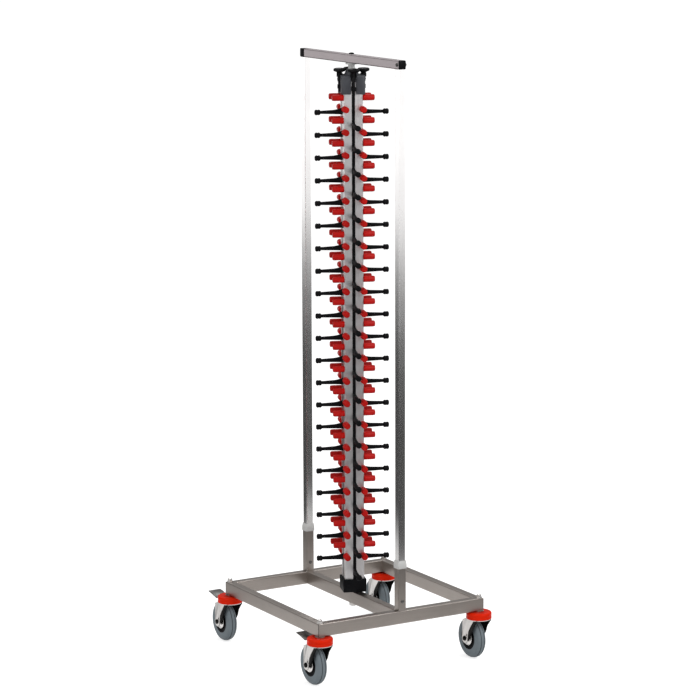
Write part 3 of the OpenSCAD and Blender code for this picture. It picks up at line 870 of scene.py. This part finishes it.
class RACK_OT_knobs(bpy.types.Operator):
    """Makes the four mushroom knobs with ribbed rims and threaded spindles"""

    bl_idname = "rack.knobs"
    bl_label = "Knobs"

    def make_head(self, sizes):
        """A mushroom head with a cone beneath and ribs round its rim."""
        r = sizes.diameter / 2
        rings = [
            (7.3 * MM, 0),
            (7.9 * MM, 0.5 * MM),
            (8.6 * MM, 1.8 * MM),
            (11 * MM, 3.6 * MM),
            (r - 3 * MM, 4.9 * MM),
            (r - 0.8 * MM, 5.8 * MM),
            (r, 7.2 * MM),
            (r, 11.6 * MM),
            (r - 0.8 * MM, 13.2 * MM),
            (r - 3 * MM, 14.4 * MM),
            (r - 7 * MM, 15.1 * MM),
            (r - 11 * MM, 15.5 * MM),
        ]
        head = lathe("knob_pattern", rings, sizes.ribs * 4)

        def between_ribs(at):
            turn = math.atan2(at.y, at.x) * sizes.ribs / math.tau % 1.0
            on_rim = math.hypot(at.x, at.y) > r - RIM_THICKNESS
            return on_rim and RIB_GAP_FROM < turn < RIB_GAP_TO

        edit_some(head, between_ribs)
        shrink = (r - RIB_DEPTH) / r
        bpy.ops.transform.resize(value=(shrink, shrink, 1), center_override=(0, 0, 0))
        leave()
        return smooth(head, 35)

    def make_spindle(self, step):
        """The threaded spindle, with a thread at each step."""
        root, z = SPINDLE_RADIUS - THREAD_DEPTH, SPINDLE_FOOT + 0.4 * MM
        rings = [(SPINDLE_RADIUS - 1.0 * MM, SPINDLE_FOOT), (root, z)]
        while z + step < SPINDLE_HEAD:
            rings += [(SPINDLE_RADIUS, z + step / 2), (root, z + step)]
            z += step
        rings.append((SPINDLE_RADIUS, SPINDLE_HEAD))
        return smooth(lathe("spindle_pattern", rings, 20), 25)

    def make_shaft(self):
        """The plain shaft through the cap, with its collar."""
        rings = in_mm(
            (5.6, -24.9),
            (6.25, -24.2),
            (6.25, -19.6),
            (6.9, -19.6),
            (7.35, -19.1),
            (7.35, -16.1),
            (6.9, -15.6),
            (6.25, -15.6),
            (6.25, 1.0),
        )
        return smooth(lathe("shaft_pattern", rings, 32), 30)

    def execute(self, context):
        sizes = context.scene.rack_knobs
        parts = [self.make_head(sizes), self.make_spindle(sizes.thread_pitch), self.make_shaft()]
        pattern = join(parts, "knob_pattern")
        for side in SIDES:
            at = Vector(JOINTS[side + "_knob_turn"]["pos_m"])
            knob = place(twin(pattern), Matrix.Translation((at.x, at.y, KNOB_SEAT)))
            name_piece(knob, side + "_knob_head")
            body = side + "_knob_body"
            finish_piece(knob, MATERIALS["Glossy black"], body, "black_plastic", side + "_knob")
        remove([pattern])
        return {"FINISHED"}


class RACK_OT_casters(bpy.types.Operator):
    """Makes the forks, covers, wheel centres, tyres and brake pedals of the casters"""

    bl_idname = "rack.casters"
    bl_label = "Casters"

    def make_cover(self):
        """A stepped round cover with a rolled lower rim."""
        rings = in_mm(
            (9, 0.0),
            (37.8, 0.0),
            (37.8, -2.6),
            (38.5, -2.8),
            (39.0, -1.8),
            (39.0, 3.4),
            (38.5, 4.2),
            (38.4, 5.3),
            (38.9, 6.8),
            (39.0, 9.0),
            (39.0, 13.0),
            (38.5, 15.2),
            (37.1, 17.1),
            (35.0, 18.2),
            (33.0, 18.5),
            (22.0, 18.5),
            (20.6, 18.0),
            (9, 18.0),
        )
        return smooth(lathe("cover_pattern", rings, 72, closed=True), 35)

    def make_tyre(self, sizes):
        """A soft round-shouldered tyre with two shallow tread grooves."""
        r, w = sizes.wheel_radius / MM, sizes.wheel_width / MM / 2
        rings = mirrored(
            (29, w - 2.4),
            (31, w - 1.0),
            (33, w - 0.6),
            (35.6, w - 0.6),
            (36.2, w - 0.1),
            (r - 17, w),
            (r - 12, w),
            (r - 8.2, w - 0.9),
            (r - 5.2, w - 2.6),
            (r - 3.0, w - 4.9),
            (r - 1.6, w - 7.2),
            (r - 0.9, w - 8.6),
            (r - 1.9, w - 9.0),
            (r - 1.9, w - 10.4),
            (r - 0.4, w - 10.8),
            (r - 0.05, w - 13),
        )
        return smooth(lathe("tyre_pattern", rings, sizes.tyre_sides, closed=True), 35)

    def make_hub(self):
        """A dished wheel centre with a bearing seal round its bore."""
        rings = mirrored(
            (4.05, 15.0),
            (6.2, 15.0),
            (6.6, 14.5),
            (9.6, 14.5),
            (10.2, 15.0),
            (10.6, 15.0),
            (11.0, 14.6),
            (11.6, 7.4),
            (13.0, 5.8),
            (20.0, 5.0),
            (23.4, 5.8),
            (24.6, 7.4),
            (25.0, 11.4),
            (25.8, 12.0),
            (28.5, 12.0),
            (29, 11.5),
        )
        return smooth(lathe("hub_pattern", rings, 64, closed=True), 35)

    def paint_tyre(self, piece, wheel, radius):
        """Paints the ring round the wheel centre, and painted shade on the bottoms of the tread
        grooves.
        """

        def on_ring(at, normal):
            return from_axle(at, wheel) < RING_RADIUS

        def in_groove_shade(at, normal):
            deep = from_axle(at, wheel) < radius - GROOVE_DEPTH
            return deep and GROOVE_FROM < abs(at.x - wheel.x) < GROOVE_TO

        paint(piece, MATERIALS["Wheel centre"], on_ring)
        paint(piece, MATERIALS["Tyre groove shade"], in_groove_shade)

    def move_point(self, piece, swivel, y, z, back, up):
        """Moves the point at (y, z) on both legs of a fork."""

        def at_point(at):
            off = math.hypot(at.y - swivel.y - y * MM, at.z - z * MM)
            return off < POINT_REACH and abs(at.x - swivel.x) > LEG_INSIDE

        edit_some(piece, at_point)
        bpy.ops.transform.translate(value=(0, back * MM, up * MM))
        leave()

    def draw_legs(self, piece, swivel):
        """Draws the fork's legs in at the front and straight down at the back."""
        for move in LEG_MOVES:
            self.move_point(piece, swivel, *move)
        # Cuts the legs' faces along the edge of the painted shade band
        for (y, z), (next_y, next_z) in zip(LEG_SHADE_EDGE, LEG_SHADE_EDGE[1:]):
            edit(piece)
            point = (swivel.x, swivel.y + y * MM, z * MM)
            across = Vector((0, z - next_z, next_y - y)).normalized()
            bpy.ops.mesh.bisect(plane_co=point, plane_no=across)
            leave()

    def paint_fork(self, piece, swivel):
        """Paints shade on the insides of the legs, and on a band down their front that stands for a
        fold inwards.
        """

        def before_shade_edge(at):
            y, z = (at.y - swivel.y) / MM, at.z / MM
            return all(
                (a_z - b_z) * (y - a_y) + (b_y - a_y) * (z - a_z) < 0
                for (a_y, a_z), (b_y, b_z) in zip(LEG_SHADE_EDGE, LEG_SHADE_EDGE[1:])
            )

        # Faces painted with shade: insides of the legs, and outsides in front of the shade edge
        def in_painted_shade(at, normal):
            off = at.x - swivel.x
            inwards = normal.x * off < -0.3 * abs(off)
            on_shade_band = abs(off) > LEG_INSIDE and before_shade_edge(at)
            return at.z < CROWN_SEAT and (inwards or on_shade_band)

        paint(piece, MATERIALS["Painted shade steel"], in_painted_shade)

    def paint_bolt(self, piece, wheel):
        """Paints shade near black on the nut and the head of an axle bolt."""

        def on_nut(at, normal):
            near = from_axle(at, wheel) < NUT_RADIUS
            return near and abs(at.x - wheel.x) > NUT_FROM

        paint(piece, MATERIALS["Painted shade steel"], on_nut)

    def add_piece(self, name, piece, material, body, slot, node):
        """Names and finishes a piece that takes a solid's place."""
        return finish_piece(name_piece(piece, name), MATERIALS[material], body, slot, node)

    def execute(self, context):
        sizes = context.scene.rack_casters
        cover, tyre, hub = self.make_cover(), self.make_tyre(sizes), self.make_hub()
        for corner in CORNERS:
            swivel = Vector(JOINTS[corner + "_swivel_turn"]["pos_m"])
            wheel = Vector(JOINTS[corner + "_wheel_turn"]["pos_m"])
            on_swivel, on_wheel = corner + "_swivel", corner + "_wheel"

            piece = place(twin(cover), Matrix.Translation((swivel.x, swivel.y, COVER_SEAT)))
            name, node = corner + "_cover_ring", corner + "_cover"
            self.add_piece(name, piece, "Orange plastic", on_swivel, "cover_plastic", node)

            turn = Matrix.Translation(wheel) @ Matrix.Rotation(math.pi / 2, 4, "Y")
            piece, name, node = place(twin(tyre), turn), corner + "_tyre_tread", corner + "_tyre"
            self.add_piece(name, piece, "Tyre rubber", on_wheel, "tyre_rubber", node)
            self.paint_tyre(piece, wheel, sizes.wheel_radius)
            piece, name, node = place(twin(hub), turn), corner + "_wheel_centre", corner + "_hub"
            self.add_piece(name, piece, "Wheel centre", on_wheel, "hub_plastic", node)

            name, node = corner + "_pressed_fork", corner + "_fork"
            piece = solid_copy(node)
            self.draw_legs(piece, swivel)
            soften(piece, 0.7 * MM)
            self.add_piece(name, piece, "Zinc plate", on_swivel, "fork_steel", node)
            self.paint_fork(piece, swivel)

            name, node = corner + "_axle_bolt", corner + "_axle"
            piece = soften(solid_copy(node), 0.4 * MM)
            self.add_piece(name, piece, "Bright bolt", on_swivel, "bolt_steel", node)
            self.paint_bolt(piece, wheel)

            if corner in BRAKED:
                name, node = corner + "_brake_plate", corner + "_pedal"
                piece, body = soften(solid_copy(node), 0.6 * MM), corner + "_brake"
                self.add_piece(name, piece, "Pedal steel", body, "fork_steel", node)
        remove([cover, tyre, hub])
        return {"FINISHED"}


class RACK_OT_stage(bpy.types.Operator):
    """Makes the floor, the soft studio light and the camera"""

    bl_idname = "rack.stage"
    bl_label = "Stage"

    def shade_ring(self, tree, place_at):
        """How dim metal sees the floor: not under the trolley or far off, but in a ring between."""
        away = tree.nodes.new("ShaderNodeVectorMath")
        away.operation = "LENGTH"
        tree.links.new(place_at, away.inputs[0])
        shade = 0.0
        for near, far, change in FLOOR_RINGS:
            step = spread(tree, away.outputs["Value"], near, far, 0.0, change)
            shade = added(tree, shade, step)
        return shade

    def make_floor(self, width):
        """A white floor that keeps the shadow and is dimmer in a ring for metal."""
        deselect()
        bpy.ops.mesh.primitive_plane_add(size=width)
        floor = name_piece(bpy.context.object, "studio_floor")
        material, tree, shader, place_at = new_material("Studio floor")
        shader.inputs["Roughness"].default_value = 0.9
        shader.inputs["Specular IOR Level"].default_value = 0.0
        shader.inputs["Emission Color"].default_value = WHITE
        rays = tree.nodes.new("ShaderNodeLightPath").outputs
        shade = scaled(tree, rays["Is Glossy Ray"], self.shade_ring(tree, place_at))
        tone = calculated(tree, "SUBTRACT", 1.0, shade)
        grey = tree.nodes.new("ShaderNodeRGB")
        grey.outputs[0].default_value = (FLOOR_GREY, FLOOR_GREY, FLOOR_GREY, 1)
        tree.links.new(tinted(tree, grey.outputs[0], tone), shader.inputs["Base Color"])
        seen = added(tree, rays["Is Camera Ray"], rays["Is Glossy Ray"])
        glow = scaled(tree, scaled(tree, seen, FLOOR_GLOW), tone)
        tree.links.new(glow, shader.inputs["Emission Strength"])
        floor.data.materials.append(material)

    def make_world(self, scene):
        """A world that is white to look at, and that metal sees darker low down."""
        world = bpy.data.worlds.new("Studio")
        world.use_nodes = True
        tree = world.node_tree
        background = tree.nodes["Background"]
        background.inputs["Color"].default_value = WHITE
        rays = tree.nodes.new("ShaderNodeLightPath").outputs
        seen = added(tree, rays["Is Camera Ray"], rays["Is Glossy Ray"])
        seen = added(tree, seen, rays["Is Transmission Ray"])
        split = tree.nodes.new("ShaderNodeSeparateXYZ")
        tree.links.new(tree.nodes.new("ShaderNodeTexCoord").outputs["Generated"], split.inputs[0])
        change = 0.0
        for low, high, at_low, at_high in WORLD_BANDS:
            band = spread(tree, split.outputs["Z"], low, high, at_low, at_high)
            change = added(tree, change, band)
        change = scaled(tree, rays["Is Glossy Ray"], change)
        strength = added(tree, spread(tree, seen, 0.0, 1.0, WORLD_LIGHT, 1.0), change)
        tree.links.new(strength, background.inputs["Strength"])
        scene.world = world

    def add_lamp(self, name, at, target, width, height, power):
        light = bpy.data.lights.new(name, "AREA")
        light.shape = "RECTANGLE"
        light.size, light.size_y, light.energy = width, height, power
        lamp = bpy.data.objects.new(name, light)
        bpy.context.collection.objects.link(lamp)
        lamp.location = at
        lamp.rotation_euler = (Vector(target) - Vector(at)).to_track_quat("-Z", "Y").to_euler()

    def make_camera(self, scene):
        yaw, pitch, roll = (math.radians(angle) for angle in CAMERA_ANGLES)
        level = math.cos(pitch)
        forward = Vector((math.sin(yaw) * level, math.cos(yaw) * level, -math.sin(pitch)))
        right = forward.cross(Vector((0, 0, 1))).normalized()
        up = right.cross(forward)
        across = right * math.cos(roll) + up * math.sin(roll)
        top = up * math.cos(roll) - right * math.sin(roll)
        camera = bpy.data.objects.new("Camera", bpy.data.cameras.new("Camera"))
        bpy.context.collection.objects.link(camera)
        aim = Matrix((across, top, -forward)).transposed().to_4x4()
        camera.matrix_world = Matrix.Translation(CAMERA_PLACE) @ aim
        camera.data.sensor_width = 36
        camera.data.lens = scene.rack_stage.lens
        camera.data.clip_end = 300
        scene.camera = camera

    def execute(self, context):
        scene = context.scene
        self.make_floor(scene.rack_stage.floor)
        self.make_world(scene)
        for lamp in LAMPS:
            self.add_lamp(*lamp)
        self.make_camera(scene)
        scene.view_settings.view_transform = "Standard"
        return {"FINISHED"}


class RACK_PT_panel(bpy.types.Panel):
    bl_label = "Plate Rack Trolley"
    bl_idname = "RACK_PT_panel"
    bl_space_type = "VIEW_3D"
    bl_region_type = "UI"
    bl_category = "Plate Rack"

    def draw(self, context):
        for operator in OPERATORS:
            self.layout.operator(operator.bl_idname)
        for name, group in SETTINGS:
            box = self.layout.box()
            for key in group.__annotations__:
                box.prop(getattr(context.scene, name), key)


OPERATORS = (
    RACK_OT_finishes,
    RACK_OT_mouldings,
    RACK_OT_seams,
    RACK_OT_pegs,
    RACK_OT_arms,
    RACK_OT_knobs,
    RACK_OT_casters,
    RACK_OT_stage,
)
SETTINGS = (
    ("rack_pegs", RackPegSizes),
    ("rack_arms", RackArmSizes),
    ("rack_knobs", RackKnobSizes),
    ("rack_casters", RackCasterSizes),
    ("rack_colours", RackColours),
    ("rack_stage", RackStageSizes),
)


def register():
    for name, group in SETTINGS:
        bpy.utils.register_class(group)
        setattr(bpy.types.Scene, name, PointerProperty(type=group))
    for operator in OPERATORS:
        bpy.utils.register_class(operator)
    bpy.utils.register_class(RACK_PT_panel)


def unregister():
    bpy.utils.unregister_class(RACK_PT_panel)
    for operator in reversed(OPERATORS):
        bpy.utils.unregister_class(operator)
    for name, group in reversed(SETTINGS):
        delattr(bpy.types.Scene, name)
        bpy.utils.unregister_class(group)


def main():
    register()
    for operator in OPERATORS:
        group, name = operator.bl_idname.split(".")
        getattr(getattr(bpy.ops, group), name)()
    deselect()


if __name__ == "__main__":
    main()
